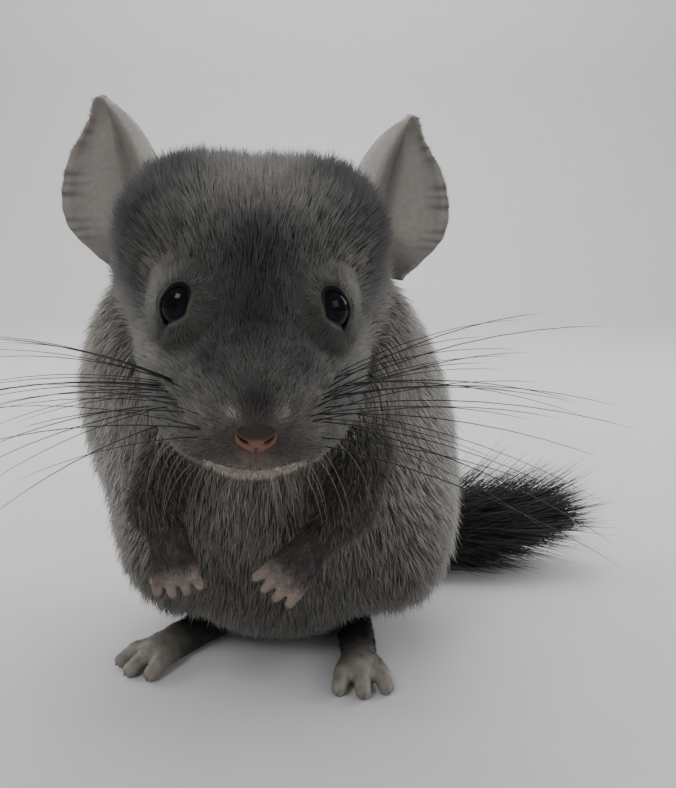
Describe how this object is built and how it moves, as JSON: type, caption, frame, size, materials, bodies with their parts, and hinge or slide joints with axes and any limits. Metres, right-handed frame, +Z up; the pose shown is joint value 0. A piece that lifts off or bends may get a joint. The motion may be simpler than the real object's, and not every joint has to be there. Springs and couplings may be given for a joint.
{
  "type": "chinchilla",
  "caption": "Life-size chinchilla sitting up on its hind feet, head lowered, both forepaws held at the belly, bushy tail laid out to its left.",
  "frame": {"origin": "on the flat under the rump, at ground level", "axes": "+Z up, the animal faces -Y, its own left side is +X"},
  "size_m": [0.216, 0.1843, 0.1723],
  "materials": {
    "coat": "dense plush fur, dark grey",
    "tail": "coarse bushy hair, near black",
    "ear": "thin bare skin, matt, grey",
    "paw": "bare skin, matt, pinkish grey",
    "nose": "bare skin, slightly moist",
    "eye": "wet, blue-black, clear",
    "whisker": "stiff hair, satin"
  },
  "bodies": {
    "root": {"ear_left": "ear", "ear_right": "ear", "eye_left": "eye", "eye_right": "eye", "foreleg_left": "coat", "foreleg_right": "coat", "forepaw_left": "paw", "forepaw_right": "paw", "haunch_left": "coat", "haunch_right": "coat", "head": "coat", "hind_foot_left": "paw", "hind_foot_right": "paw", "lower_jaw": "coat", "neck": "coat", "nose": "nose", "tail_brush": "tail", "tail_root": "coat", "torso": "coat", "whiskers_left": "whisker", "whiskers_right": "whisker"}
  },
  "joints": []
}
